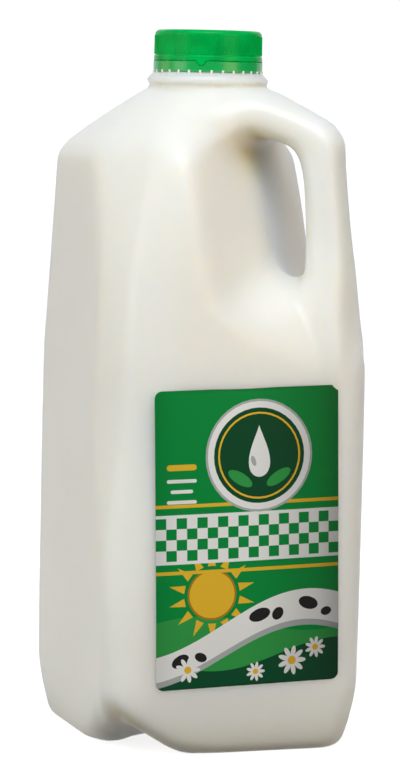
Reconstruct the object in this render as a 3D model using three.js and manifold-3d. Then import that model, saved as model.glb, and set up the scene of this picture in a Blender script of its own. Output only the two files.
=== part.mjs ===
// A half-gallon plastic milk jug with a corner handle, shut and full.
// Millimetres, +Z up. X runs along the mould's parting plane towards the handle, Y is the direction in
// which the mould opens, and the origin is on the ground under the axis of the neck.
// The plan is a rounded square that stands on its corner: the handle takes the +X corner.
import * as THREE from "three";
import { mergeVertices } from "three/addons/utils/BufferGeometryUtils.js";
import Module from "manifold-3d";

// Body
const HALF_SIDE = 49.9;
const CORNER_RADIUS = 11.5;
const TAPER_START_Z = 144.8;
const TAPER = 0.044; // the sides lean in by this much for each millimetre above the straight part
const SHOULDER_EDGE_Z = 219.1;
const SHOULDER_EDGE_ROUND = 4.8;
const SHOULDER_BULGE = 1;

// Foot
const FOOT_HEIGHT = 26.1;
const FOOT_INSET = 4.4;
const FOOT_POWER = 1.6;
const FOOT_EDGE_RADIUS = 2;
const CHANNEL_MIDDLE = { halfWidth: 3, height: 1 };
const CHANNEL_END = { y: 77.2, halfWidth: 26.6, height: 17.9 };

// The two flat facets that cut the corners beside the handle's side, widest at the shoulder
const FACET_TURN = THREE.MathUtils.degToRad(16.3);
const FACET_OFFSET = 58.4;
const FACET_WAIST_Z = 135.1;
const FACET_LEAN_UP = 0.00207;
const FACET_LEAN_DOWN = 0.00228;
const FACET_SHOULDER = { z: 243.2, offset: 21.2, slope: 1.05 };
const FACET_ROUND = { left: 3.9, right: 14, fromX: -18, toX: 8 };

// The two leaning walls that pinch the body beside the handle, rounded where they meet in the parting
// plane, and the ceiling where the grip grows out of the shoulder
const PINCH_TURN = THREE.MathUtils.degToRad(84.5);
const PINCH = { z: 197.8, offset: 25.1, lean: 0.21, fold: 12, blend: 11.6 };
const CEILING = { z: 226.5, rise: 0.3, middleBlend: 6, outerBlend: 18, outerY: 20 };

// The sloping panel from a ridge on the face up to the lip under the finger hole
const LIP = { z: 173.7, fall: 0.4 };
const RIDGE = { z: 155.4, fall: 0.273, slope: 0.55 };
const LIP_ROUND = 7.7;
const HOLLOW_ROUND = { ridge: 2.9, above: 5, top: 16, topFromZ: 216, topZ: 230 };

// The grip's middle line in the parting plane, with the section's half depth and half width there
const GRIP = [
  { x: 12.5, z: 230.6, depth: 6.8, width: 19.3 },
  { x: 23.2, z: 233.9, depth: 6.8, width: 15.4 },
  { x: 31.8, z: 231.3, depth: 6.8, width: 11.6 },
  { x: 39.6, z: 227.9, depth: 7.1, width: 9.3 },
  { x: 46.1, z: 222.7, depth: 8.3, width: 8.5 },
  { x: 48.5, z: 213.3, depth: 7.2, width: 8.3 },
  { x: 49.7, z: 202.7, depth: 7.1, width: 8.3 },
  { x: 51, z: 188.2, depth: 7.6, width: 8.7 },
  { x: 52.1, z: 173.7, depth: 8.3, width: 10.6 },
  { x: 52.9, z: 159.2, depth: 8.7, width: 13 },
  { x: 54.6, z: 144.8, depth: 8.7, width: 13.5 },
  { x: 54.6, z: 131.2, depth: 7.7, width: 10.6 },
];
const GRIP_SECTION_POWER = 2.9;

// Neck
const NECK_RADIUS = 21;
const NECK_Z = 243.2;
const RING_RADIUS = 22.6;
const RING_Z = 245.4;
const FINISH_RADIUS = 17.4;
const BEAD_RADIUS = 18.2;
const FINISH_TOP_Z = 261.9;

// Cap and tamper band
const CAP_RADIUS = 19.9;
const CAP_TOP_Z = 264.3;
const CAP_WALL = 1.3;
const CAP_TOP_WALL = 1.8;
const CAP_TOP_ROUND = 1.6;
const BREAK_Z = 252.5;
const BREAK_GAP = 0.4;
const CAP_HEM = { height: 1.7, proud: 0.3 };
const BAND_RADIUS = 20;
const BAND_BOTTOM_Z = 248.4;

// Label on the face that looks to +X and -Y
const LABEL = { width: 70.3, height: 108.7, centreAcross: 2, centreZ: 80.9, corner: 2.7 };
const LABEL_TILT = THREE.MathUtils.degToRad(1.6);
const LABEL_THICK = 0.3;
const LABEL_GAP = 0.35;

// How finely the round shapes are cut
const AROUND = 64;
const PLAIN_TOP_Z = 131.4;
const RIDGE_TOP_Z = 159.7;
const LIP_TOP_Z = 181.7;
const STRETCHES = [
  { to: FOOT_EDGE_RADIUS, steps: 3 },
  { to: FOOT_HEIGHT, steps: 5 },
  { to: PLAIN_TOP_Z, steps: 4 },
  { to: RIDGE_TOP_Z, steps: 6 },
  { to: LIP_TOP_Z, steps: 9 },
  { to: SHOULDER_EDGE_Z - SHOULDER_EDGE_ROUND, steps: 5 },
  { to: SHOULDER_EDGE_Z + SHOULDER_EDGE_ROUND, steps: 5 },
  { to: NECK_Z, steps: 5 },
];
const GRIP_AROUND = 16;
const GRIP_STEPS = 26;
const LATHE_STEPS = 44;

const HALF_TURN = Math.PI;
const FULL_TURN = 2 * Math.PI;

function smoothMax(a, b, blend) {
  const h = Math.max(blend - Math.abs(a - b), 0) / blend;
  return Math.max(a, b) + (h * h * blend) / 4;
}

function smoothMin(a, b, blend) {
  return -smoothMax(-a, -b, blend);
}

// How far the foot is drawn in at height z, by its long slope and its small rounded edge.
function footInset(z) {
  const slope = FOOT_INSET * Math.max(1 - z / FOOT_HEIGHT, 0) ** FOOT_POWER;
  const up = Math.max(FOOT_EDGE_RADIUS - z, 0);
  const edge = FOOT_EDGE_RADIUS - Math.sqrt(Math.max(FOOT_EDGE_RADIUS ** 2 - up * up, 0));
  return slope + edge;
}

// Half the plan's side at height z: straight, then tapered, then drawn in to the neck.
function halfSide(z) {
  const side = HALF_SIDE - TAPER * Math.max(z - TAPER_START_Z, 0);
  const edge = HALF_SIDE - TAPER * (SHOULDER_EDGE_Z - TAPER_START_Z);
  const t = THREE.MathUtils.clamp((z - SHOULDER_EDGE_Z) / (NECK_Z - SHOULDER_EDGE_Z), -1, 1);
  const bulge = 4 * SHOULDER_BULGE * Math.max(t * (1 - t), 0);
  const shoulder = THREE.MathUtils.lerp(edge, NECK_RADIUS, t) + bulge;
  return smoothMin(side, shoulder, SHOULDER_EDGE_ROUND) - footInset(z);
}

// The plan's corners are round as a circle where the body meets the neck.
function cornerRadius(z) {
  const t = THREE.MathUtils.clamp((z - SHOULDER_EDGE_Z) / (NECK_Z - SHOULDER_EDGE_Z), 0, 1);
  return THREE.MathUtils.lerp(CORNER_RADIUS, NECK_RADIUS, t);
}

// Negative inside the jug's body without its handle, and about the distance in millimetres near it.
function bodyField(x, y, z) {
  const across = Math.abs(y);
  const radius = cornerRadius(z);
  const core = halfSide(z) - radius;
  const front = (x + across) * Math.SQRT1_2;
  const side = (x - across) * Math.SQRT1_2;
  const qx = Math.abs(front) - core;
  const qy = Math.abs(side) - core;
  const square = Math.hypot(Math.max(qx, 0), Math.max(qy, 0)) + Math.min(Math.max(qx, qy), 0) - radius;

  const rise = z - FACET_WAIST_Z;
  const lean = rise > 0 ? -FACET_LEAN_UP : FACET_LEAN_DOWN;
  const shoulder = FACET_SHOULDER.offset + FACET_SHOULDER.slope * (FACET_SHOULDER.z - z);
  const offset = smoothMin(FACET_OFFSET + lean * rise * rise, shoulder, SHOULDER_EDGE_ROUND);
  const facet = across * Math.cos(FACET_TURN) - x * Math.sin(FACET_TURN) - offset;

  const fold = Math.hypot(y, PINCH.fold);
  const pinchOffset = PINCH.offset - PINCH.lean * (z - PINCH.z);
  const pinchReach = x * Math.sin(PINCH_TURN) + fold * Math.cos(PINCH_TURN);
  const pinch = (pinchReach - pinchOffset) / Math.hypot(1, PINCH.lean);
  const lip = (z - LIP.z + LIP.fall * across) / Math.hypot(1, LIP.fall);
  const aboveRidge = z - RIDGE.z + RIDGE.fall * side;
  const panel = (front + RIDGE.slope * aboveRidge - HALF_SIDE) / Math.hypot(1, RIDGE.slope);
  const floor = smoothMin(pinch, smoothMax(lip, panel, LIP_ROUND), PINCH.blend);
  const ceiling = (CEILING.z + CEILING.rise * across - z) / Math.hypot(1, CEILING.rise);
  const outer = Math.min(across / CEILING.outerY, 1);
  const ceilingBlend = THREE.MathUtils.lerp(CEILING.middleBlend, CEILING.outerBlend, outer);
  const hollow = smoothMin(floor, ceiling, ceilingBlend);

  const t = THREE.MathUtils.clamp((z - RIDGE.z) / (LIP.z - RIDGE.z), 0, 1);
  const high = THREE.MathUtils.smoothstep(z, HOLLOW_ROUND.topFromZ, HOLLOW_ROUND.topZ);
  const lowRound = THREE.MathUtils.lerp(HOLLOW_ROUND.ridge, HOLLOW_ROUND.above, t);
  const round = THREE.MathUtils.lerp(lowRound, HOLLOW_ROUND.top, high);
  const share = THREE.MathUtils.smoothstep(x, FACET_ROUND.fromX, FACET_ROUND.toX);
  const facetRound = THREE.MathUtils.lerp(FACET_ROUND.left, FACET_ROUND.right, share);
  return smoothMax(smoothMax(square, facet, facetRound), hollow, round);
}

// How far the body reaches from the axis in one direction at height z.
function bodyReach(angle, z) {
  let inside = 0;
  let outside = 2 * HALF_SIDE;
  for (let i = 0; i < 30; i++) {
    const middle = (inside + outside) / 2;
    if (bodyField(middle * Math.cos(angle), middle * Math.sin(angle), z) < 0) inside = middle;
    else outside = middle;
  }
  return inside;
}

// A closed skin over rings of equally many points, listed from the bottom up and counterclockwise.
function loft(rings) {
  const count = rings[0].length;
  const points = rings.flat();
  const triangles = [];
  for (let level = 0; level < rings.length - 1; level++) {
    for (let i = 0; i < count; i++) {
      const a = level * count + i;
      const b = level * count + ((i + 1) % count);
      triangles.push(a, b, b + count, a, b + count, a + count);
    }
  }
  const ends = [rings[0], rings[rings.length - 1]];
  const middles = ends.map((ring) =>
    ring.reduce((sum, p) => sum.add(p), new THREE.Vector3()).divideScalar(count),
  );
  const bottom = points.length;
  const top = bottom + 1;
  const last = (rings.length - 1) * count;
  for (let i = 0; i < count; i++) {
    const next = (i + 1) % count;
    triangles.push(bottom, next, i, top, last + i, last + next);
  }
  const geometry = new THREE.BufferGeometry().setFromPoints([...points, ...middles]);
  geometry.setIndex(triangles);
  return geometry;
}

function bodyGeometry() {
  const levels = STRETCHES.flatMap(({ to, steps }, i) => {
    const from = i ? STRETCHES[i - 1].to : 0;
    return Array.from({ length: steps }, (_, step) => from + ((to - from) * step) / steps);
  });
  levels.push(NECK_Z);
  const rings = levels.map((z) =>
    Array.from({ length: AROUND }, (_, i) => {
      const angle = (FULL_TURN * i) / AROUND;
      const reach = bodyReach(angle, z);
      return new THREE.Vector3(reach * Math.cos(angle), reach * Math.sin(angle), z);
    }),
  );
  return loft(rings);
}

// The handle's tube, from inside the shoulder over the hole and down into the body again.
function gripGeometry() {
  const line = new THREE.CatmullRomCurve3(GRIP.map((p) => new THREE.Vector3(p.x, 0, p.z)));
  const sizes = new THREE.CatmullRomCurve3(GRIP.map((p) => new THREE.Vector3(p.depth, p.width, 0)));
  const rings = Array.from({ length: GRIP_STEPS + 1 }, (_, step) => {
    const t = 1 - step / GRIP_STEPS;
    const centre = line.getPoint(t);
    const along = line.getTangent(t).negate();
    const size = sizes.getPoint(t);
    const outward = new THREE.Vector3(0, 1, 0).cross(along);
    return Array.from({ length: GRIP_AROUND }, (_, i) => {
      const angle = (FULL_TURN * i) / GRIP_AROUND;
      const power = 2 / GRIP_SECTION_POWER;
      const c = Math.sign(Math.cos(angle)) * Math.abs(Math.cos(angle)) ** power;
      const s = Math.sign(Math.sin(angle)) * Math.abs(Math.sin(angle)) ** power;
      return new THREE.Vector3(0, s * size.y, 0).addScaledVector(outward, c * size.x).add(centre);
    });
  });
  return loft(rings);
}

// The groove across the underside, wide and high at its two open ends and shallow in the middle.
function channelGeometry() {
  const section = (y, { halfWidth, height }) => [
    new THREE.Vector3(-halfWidth, y, -1),
    new THREE.Vector3(-halfWidth, y, 0),
    new THREE.Vector3(-0.1 * halfWidth, y, 0.93 * height),
    new THREE.Vector3(0.1 * halfWidth, y, 0.93 * height),
    new THREE.Vector3(halfWidth, y, 0),
    new THREE.Vector3(halfWidth, y, -1),
  ];
  return loft([
    section(-CHANNEL_END.y, CHANNEL_END),
    section(0, CHANNEL_MIDDLE),
    section(CHANNEL_END.y, CHANNEL_END),
  ]);
}

// A solid of revolution about Z whose profile is pairs of radius and height.
function turned(profile) {
  const points = profile.map(([radius, z]) => new THREE.Vector2(radius, z));
  return new THREE.LatheGeometry(points, LATHE_STEPS).rotateX(HALF_TURN / 2);
}

// Points of a quarter circle in a profile, round the given middle.
function quarter(radius, z, round, from) {
  return Array.from({ length: 5 }, (_, i) => {
    const angle = from + (i * HALF_TURN) / 8;
    return [radius + round * Math.cos(angle), z + round * Math.sin(angle)];
  });
}

// The ring under the tamper band and the threaded mouth inside the cap, with its two beads.
function neckGeometry() {
  const bead = (z) => [
    [FINISH_RADIUS, z - 1.2],
    [BEAD_RADIUS, z - 0.3],
    [BEAD_RADIUS, z + 0.3],
    [FINISH_RADIUS, z + 1.2],
  ];
  return turned([
    [0, NECK_Z - 3],
    [NECK_RADIUS - 0.5, NECK_Z - 3],
    [NECK_RADIUS - 0.3, NECK_Z + 0.4],
    [RING_RADIUS - 0.5, RING_Z - 1.2],
    [RING_RADIUS, RING_Z],
    [RING_RADIUS - 0.6, RING_Z + 1.4],
    [NECK_RADIUS - 0.2, BAND_BOTTOM_Z - 0.6],
    [FINISH_RADIUS, BAND_BOTTOM_Z - 0.4],
    ...bead(BREAK_Z - 0.5),
    ...bead(BREAK_Z + 5),
    ...quarter(FINISH_RADIUS - 0.8, FINISH_TOP_Z - 0.8, 0.8, 0),
    [0, FINISH_TOP_Z],
  ]);
}

function capGeometry() {
  const bottom = BREAK_Z + BREAK_GAP / 2;
  const inner = CAP_RADIUS - CAP_WALL;
  const hem = CAP_RADIUS + CAP_HEM.proud;
  return turned([
    [0, CAP_TOP_Z - CAP_TOP_WALL],
    [inner, CAP_TOP_Z - CAP_TOP_WALL],
    [inner, bottom],
    [hem, bottom],
    [hem, bottom + CAP_HEM.height - CAP_HEM.proud],
    [CAP_RADIUS, bottom + CAP_HEM.height],
    ...quarter(CAP_RADIUS - CAP_TOP_ROUND, CAP_TOP_Z - CAP_TOP_ROUND, CAP_TOP_ROUND, 0),
    [0, CAP_TOP_Z],
  ]);
}

function bandGeometry() {
  const top = BREAK_Z - BREAK_GAP / 2;
  const inner = BAND_RADIUS - CAP_WALL;
  return turned([
    [inner, BAND_BOTTOM_Z],
    [BAND_RADIUS - 0.3, BAND_BOTTOM_Z],
    [BAND_RADIUS, BAND_BOTTOM_Z + 0.3],
    [BAND_RADIUS, top],
    [inner, top],
    [inner, BAND_BOTTOM_Z],
  ]);
}

// A thin sheet with rounded corners in its own plane: X is across the face and Y is up it.
function labelGeometry() {
  const { width, height, corner } = LABEL;
  const shape = new THREE.Shape();
  const [right, top] = [width / 2 - corner, height / 2 - corner];
  shape.absarc(right, top, corner, 0, HALF_TURN / 2);
  shape.absarc(-right, top, corner, HALF_TURN / 2, HALF_TURN);
  shape.absarc(-right, -top, corner, HALF_TURN, 1.5 * HALF_TURN);
  shape.absarc(right, -top, corner, 1.5 * HALF_TURN, FULL_TURN);
  return new THREE.ExtrudeGeometry(shape, { depth: LABEL_THICK, bevelEnabled: false, curveSegments: 5 });
}

const wasm = await Module();
wasm.setup();

function solidOf(geometry) {
  const bare = geometry.clone();
  bare.deleteAttribute("normal");
  bare.deleteAttribute("uv");
  const merged = mergeVertices(bare, 1e-4);
  return new wasm.Manifold(
    new wasm.Mesh({
      numProp: 3,
      vertProperties: new Float32Array(merged.attributes.position.array),
      triVerts: new Uint32Array(merged.index.array),
    }),
  );
}

function geometryOf(solid) {
  const { vertProperties, triVerts } = solid.getMesh();
  const geometry = new THREE.BufferGeometry();
  geometry.setAttribute("position", new THREE.BufferAttribute(vertProperties, 3));
  geometry.setIndex(new THREE.BufferAttribute(triVerts, 1));
  geometry.computeVertexNormals();
  return geometry;
}

function piece(name, geometry, look) {
  const mesh = new THREE.Mesh(geometry, new THREE.MeshStandardMaterial({ metalness: 0, ...look }));
  mesh.name = name;
  return mesh;
}

function jug() {
  const body = solidOf(bodyGeometry());
  const withGrip = body.add(solidOf(gripGeometry()));
  const withNeck = withGrip.add(solidOf(neckGeometry()));
  return geometryOf(withNeck.subtract(solidOf(channelGeometry())));
}

const part = new THREE.Group();
part.add(piece("jug", jug(), { color: 0xefebe2, roughness: 0.38 }));
part.add(piece("cap", capGeometry(), { color: 0x00a84f, roughness: 0.35 }));
part.add(piece("tamper_band", bandGeometry(), { color: 0x00a84f, roughness: 0.35 }));

const face = new THREE.Group();
face.rotation.z = HALF_TURN / 4;
const sheet = piece("front_label", labelGeometry(), { color: 0x00753a, roughness: 0.3 });
sheet.position.set(LABEL.centreAcross, -(HALF_SIDE + LABEL_GAP), LABEL.centreZ);
sheet.rotation.set(HALF_TURN / 2, 0, LABEL_TILT);
face.add(sheet);
part.add(face);

export default part;
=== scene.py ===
import math

import bmesh
import bpy
import numpy as np
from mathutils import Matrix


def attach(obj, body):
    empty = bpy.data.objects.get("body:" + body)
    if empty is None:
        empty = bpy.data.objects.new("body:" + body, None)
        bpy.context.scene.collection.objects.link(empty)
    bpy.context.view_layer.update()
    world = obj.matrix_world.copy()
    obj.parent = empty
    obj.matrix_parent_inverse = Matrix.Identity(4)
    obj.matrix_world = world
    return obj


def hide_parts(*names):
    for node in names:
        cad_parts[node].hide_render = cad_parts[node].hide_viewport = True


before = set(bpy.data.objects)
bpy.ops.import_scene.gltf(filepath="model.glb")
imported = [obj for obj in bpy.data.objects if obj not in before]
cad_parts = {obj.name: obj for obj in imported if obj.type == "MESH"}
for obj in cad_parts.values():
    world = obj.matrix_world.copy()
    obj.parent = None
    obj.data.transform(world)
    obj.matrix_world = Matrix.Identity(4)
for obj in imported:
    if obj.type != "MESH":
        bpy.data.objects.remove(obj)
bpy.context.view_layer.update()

import openvdb
from bpy.props import FloatProperty, FloatVectorProperty, IntProperty, PointerProperty
from mathutils import Matrix, Vector
from mathutils.geometry import delaunay_2d_cdt

bl_info = {
    "name": "Plastic milk jug",
    "version": (1, 0, 0),
    "blender": (4, 5, 0),
    "location": "3D View > Sidebar > Milk jug",
    "description": "A half-gallon blow-moulded milk jug with a corner handle, a screw cap and a film label",
    "category": "Object",
}

MM = 0.001
DIAGONAL = math.sqrt(0.5)
BODY = "root"

# Body: the plan is a rounded square that stands on its corner, with the handle at +X.
TAPER_START_Z = 144.8 * MM
TAPER = 0.044
SHOULDER_EDGE_Z = 219.1 * MM
SHOULDER_EDGE_ROUND = 4.8 * MM
SHOULDER_BULGE = 1.0 * MM
NECK_Z = 243.2 * MM
NECK_RADIUS = 21.0 * MM

# Foot and underside
FOOT_HEIGHT = 26.1 * MM
FOOT_INSET = 4.4 * MM
FOOT_POWER = 1.6
FOOT_LOWEST = 1.1
FOOT_EDGE_ROUND = 5.0 * MM
GROOVE_MIDDLE_HALF_WIDTH = 2.0 * MM
GROOVE_MIDDLE_HEIGHT = 0.6 * MM
GROOVE_END_HALF_WIDTH = 25.4 * MM
GROOVE_END_HEIGHT = 17.2 * MM
GROOVE_END_Y = 77.2 * MM
GROOVE_ROUND = 4.0 * MM
GROOVE_EDGE_ROUND = 9.0 * MM
GROOVE_LEFT_ROUND = 15.5 * MM
GROOVE_LEFT_SPAN = (-4 * MM, 14 * MM)
GROOVE_EDGE_SPAN = (-13 * MM, 6 * MM)
GROOVE_RIDGE_ROUND = 0.12
GROOVE_RIDGE_FLAT = 0.9
PUSH_UP = 1.0 * MM
PUSH_UP_SIDE = 33.0 * MM
PUSH_UP_EDGE = 5.0 * MM

# Where the faces bow out: shares of the half side, of the foot's height and of the ridge's height
BULGE_WIDTH = 0.93
BULGE_LOW_SPAN = (0.5, 2.2)
BULGE_HIGH_START = 0.7

# The two flat facets
FACET_TURN = math.radians(16.3)
FACET_OFFSET = 58.4 * MM
FACET_WAIST_Z = 135.1 * MM
FACET_LEAN_UP = 2.07
FACET_LEAN_DOWN = 2.28
FACET_SHOULDER_Z = 243.2 * MM
FACET_SHOULDER_OFFSET = 21.2 * MM
FACET_SHOULDER_SLOPE = 1.05
FACET_ROUND_LEFT = 4.0 * MM
FACET_ROUND_RIGHT = 16.0 * MM
FACET_ROUND_SPAN = (-18 * MM, 8 * MM)

# The hollow beside the handle: two leaning walls that meet in a rounded fold, a ceiling, a lip and a panel
PINCH_TURN = math.radians(84.5)
PINCH_Z = 197.8 * MM
PINCH_OFFSET = 25.1 * MM
PINCH_LEAN = 0.21
PINCH_FOLD = 12.0 * MM
PINCH_BLEND = 11.6 * MM
CEILING_Z = 226.5 * MM
CEILING_RISE = 0.3
CEILING_BLEND_MIDDLE = 6.0 * MM
CEILING_BLEND_OUTER = 18.0 * MM
CEILING_OUTER_Y = 20.0 * MM
LIP_Z = 173.7 * MM
LIP_FALL = 0.4
LIP_ROUND = 7.7 * MM
RIDGE_Z = 155.4 * MM
RIDGE_FALL = 0.273
RIDGE_SLOPE = 0.55
RIDGE_ROUND = 2.9 * MM
HOLLOW_ROUND = 5.0 * MM
HOLLOW_ROUND_TOP = 16.0 * MM
HOLLOW_TOP_SPAN = (216 * MM, 230 * MM)

# The grip's middle line in the parting plane: x, z, half depth and half width, in millimetres
GRIP_LINE = (
    (12.5, 230.6, 6.8, 19.3),
    (23.2, 233.9, 6.8, 15.4),
    (31.8, 231.3, 6.8, 11.6),
    (39.6, 227.9, 7.1, 9.3),
    (46.1, 222.7, 8.3, 8.5),
    (48.5, 213.3, 7.2, 8.3),
    (49.7, 202.7, 7.1, 8.3),
    (51.0, 188.2, 7.6, 8.7),
    (52.1, 173.7, 8.3, 10.6),
    (52.9, 159.2, 8.7, 13.0),
    (54.6, 144.8, 8.7, 13.5),
    (54.6, 131.2, 7.7, 10.6),
)
GRIP_POWER = 2.9
GRIP_STEPS = 14
GRIP_BATCH = 20000
GRIP_BLEND_LOW = 2.0 * MM
GRIP_BLEND_HIGH = 8.0 * MM
GRIP_BLEND_START_Z = RIDGE_Z - 10 * MM
GRIP_REACH_Y = 30 * MM
GRIP_REACH_Z = 118 * MM
FAR_AWAY = 50 * MM
TINY = 1e-9

# The neck's outline: radius and height, in millimetres
NECK_OUTLINE = (
    (21.0, 236.0),
    (21.0, 243.4),
    (22.1, 244.4),
    (22.6, 245.5),
    (22.0, 246.5),
    (20.3, 248.1),
    (17.6, 248.9),
    (17.4, 250.0),
    (17.4, 261.9),
)
NECK_BLEND = 1.4 * MM
NECK_SLOPE = 0.8

# Painted warm shade, a brownish darkening: at the top of the finger hole (x, z), in the groove and at the
# foot's edge
AMBER_SPOT = (20 * MM, 220 * MM)
AMBER_REACH = (6 * MM, 15 * MM, 8 * MM)
AMBER_IN_GROOVE = 0.8
AMBER_AT_FOOT = 0.3
AMBER_GROOVE_DEPTH = (-9 * MM, 1 * MM)
AMBER_GROOVE_HEIGHT = (4 * MM, 12 * MM)
AMBER_FOOT_Z = 16 * MM

# Painted shade in the folds: how far off the surface the folds are felt, and how much each distance counts
FOLD_SHADE_REACHES = ((5 * MM, 0.35), (11 * MM, 0.35), (22 * MM, 0.3))

# Meshing of the bottle
GRID_MARGIN = 3
GRADIENT_STEP = 0.15 * MM
LEAST_SLOPE = 0.05
RELAX_ROUNDS = 3

# Cap
CAP_TOP_Z = 263.9 * MM
CAP_WALL = 1.3 * MM
CAP_TOP_WALL = 1.8 * MM
CAP_TOP_ROUND = 1.7 * MM
CAP_AXIS = 0.02 * MM
CAP_DISH = 0.25 * MM
HEM_HEIGHT = 1.9 * MM
HEM_PROUD = 0.3 * MM
HEM_ROUND = 0.45 * MM
RIB_BOTTOM_Z = 254.9 * MM
RIB_TOP_Z = 261.9 * MM
RIB_TOP_SHARE = 0.7
AROUND_CAP = 240

# Break line between cap and tamper band, with its tab
BREAK_Z = 252.5 * MM
BREAK_GAP = 0.1 * MM
BREAK_BEVEL = 0.32 * MM
BREAK_STEP = 0.05 * MM
TAB_ANGLE = math.radians(-71)
TAB_HALF_WIDTH = 1.95 * MM
TAB_FLAT = 0.75 * MM
TAB_DEPTH = 1.75 * MM

# Tamper band, its bridges and the neck's lugs
BAND_PROUD = 0.42 * MM
BAND_BOTTOM_Z = 248.4 * MM
BAND_ROUND = 0.35 * MM
BRIDGE_RADIUS = 0.35 * MM
BRIDGE_INSET = 0.4 * MM
BRIDGE_SUNK = 0.2 * MM
LUGS = 30
LUG_RING = 20.15 * MM
LUG_RADIUS = 0.45 * MM
LUG_BOTTOM_Z = 247.6 * MM
LUG_HEIGHT = 1.5 * MM

# Label
LABEL_GAP = 0.08 * MM
LABEL_FILM = 0.14 * MM
LABEL_STEP = 1.5 * MM
LABEL_TILT = math.radians(1.6)
FACE_TURN = math.radians(45)
CREASE_REACH = 0.34

# Colours of the print
WHITE = (0.82, 0.82, 0.80)
SILVER = (0.40, 0.43, 0.42)
DEEP_GREEN = (0.0, 0.055, 0.018)
LEAF_GREEN = (0.03, 0.30, 0.06)
GOLD = (0.78, 0.47, 0.03)
BRONZE = (0.38, 0.19, 0.01)
BLACK = (0.01, 0.01, 0.01)

# The camera, as it stood for the photograph
CAMERA_TURN = 26
CAMERA_AZIMUTH = math.radians(CAMERA_TURN)
CAMERA_DISTANCE = 1.1576
CAMERA_Z = 0.24125
CAMERA_ROLL = math.radians(1.30)
AIM_ACROSS = -0.25 * MM
AIM_Z = 131.1 * MM
FOCAL_PIXELS = 3093.3
PHOTO_HEIGHT = 772
SENSOR = 36

# Paper sweep, in metres
FLOOR_HALF_WIDTH = 3.0
FLOOR_FRONT = -3.2
FLOOR_DEPTH = 1.6
FLOOR_BEND = 0.8
BACKDROP_HEIGHT = 2.6

# Soft square lights round the jug: their distance, side and heights in metres, and their tints
LIGHT_DISTANCE = 1.15
LIGHT_AIM_Z = 0.15
LIGHT_SIDE = 0.6
HIGH = 0.96
LOW = 0.35
COOL = (0.92, 0.96, 1.0)
CREAM = (1.0, 0.97, 0.8)
WARM = (1.0, 0.75, 0.4)
SKY_COLOUR = (0.6, 0.74, 1.0)
SKY_SPAN = (-0.1, 0.3)


class JugBody(bpy.types.PropertyGroup):
    half_side: FloatProperty(
        name="Half side", description="Half the width across the body's faces",
        default=49.9 * MM, unit="LENGTH",
    )
    corner_radius: FloatProperty(
        name="Corner radius", description="Radius of the upright corners", default=11.5 * MM, unit="LENGTH"
    )
    panel_bulge: FloatProperty(
        name="Panel bulge", description="How far a full jug's faces bow out",
        default=1.3 * MM, unit="LENGTH",
    )
    mesh_step: FloatProperty(
        name="Mesh step", description="Size of the bottle's mesh cells", default=1.22 * MM, unit="LENGTH"
    )
    # Painted warm shade: the brownish colour laid on at the finger hole's top, in the groove and round the
    # foot's edge
    warm_shade_colour: FloatVectorProperty(
        name="Thick plastic", description="Colour where the moulding is thick and has no milk behind it",
        subtype="COLOR", default=(0.70, 0.60, 0.30), min=0, max=1,
    )
    colour: FloatVectorProperty(
        name="Plastic", description="Colour of the plastic with milk behind it", subtype="COLOR",
        default=(0.88, 0.865, 0.80), min=0, max=1,
    )
    # Painted shade: the darker, warmer colour laid into the folds of the bottle
    fold_shade_colour: FloatVectorProperty(
        name="Plastic in recesses", description="Colour in the folds, where light passes the plastic twice",
        subtype="COLOR", default=(0.82, 0.77, 0.66), min=0, max=1,
    )


class JugCap(bpy.types.PropertyGroup):
    radius: FloatProperty(
        name="Radius", description="Outer radius of the cap's wall", default=19.9 * MM, unit="LENGTH"
    )
    ribs: IntProperty(name="Ribs", description="How many grip ribs the cap has", default=160)
    rib_radius: FloatProperty(
        name="Rib radius", description="Radius of one rib", default=0.24 * MM, unit="LENGTH"
    )
    bridges: IntProperty(name="Bridges", description="Bridges that hold the tamper band", default=16)
    colour: FloatVectorProperty(
        name="Cap colour", description="Colour of the cap and the band", subtype="COLOR",
        default=(0.0, 0.50, 0.085), min=0, max=1,
    )


class JugLabel(bpy.types.PropertyGroup):
    width: FloatProperty(name="Width", description="Width of the film", default=70.3 * MM, unit="LENGTH")
    height: FloatProperty(name="Height", description="Height of the film", default=108.7 * MM, unit="LENGTH")
    corner: FloatProperty(name="Corner", description="Corner radius", default=2.7 * MM, unit="LENGTH")
    centre_across: FloatProperty(
        name="Across", description="Its middle's place across the face", default=2.0 * MM, unit="LENGTH"
    )
    centre_z: FloatProperty(
        name="Height of middle", description="Its middle's height", default=80.9 * MM, unit="LENGTH"
    )
    colour: FloatVectorProperty(
        name="Ground colour", description="Colour of the label's ground", subtype="COLOR",
        default=(0.0, 0.235, 0.042), min=0, max=1,
    )


class JugStage(bpy.types.PropertyGroup):
    key_power: FloatProperty(
        name="Key", description="High light to the right of the camera", default=7.5, unit="POWER"
    )
    front_power: FloatProperty(
        name="Front", description="High light in front of the jug", default=2.5, unit="POWER"
    )
    left_power: FloatProperty(name="Left", description="Low light on the left", default=3.0, unit="POWER")
    edge_power: FloatProperty(name="Edge", description="Low light from far left", default=2.0, unit="POWER")
    right_power: FloatProperty(
        name="Right", description="Low warm light on the right", default=3.5, unit="POWER"
    )
    sky: FloatProperty(
        name="Room light", description="Strength of the light from above", default=0.36, min=0
    )
    floor_glow: FloatProperty(
        name="Floor glow", description="Strength of the floor's own light", default=0.82, min=0
    )


def smooth_max(a, b, blend):
    h = np.maximum(blend - np.abs(a - b), 0) / blend
    return np.maximum(a, b) + h * h * blend / 4


def smooth_min(a, b, blend):
    return -smooth_max(-a, -b, blend)


def ramp(value, start, end):
    """0 before start, 1 after end, and a smooth step between them."""
    t = np.clip((value - start) / (end - start), 0, 1)
    return t * t * (3 - 2 * t)


def mix(a, b, share):
    """From a to b by a share."""
    return a + (b - a) * share


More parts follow.
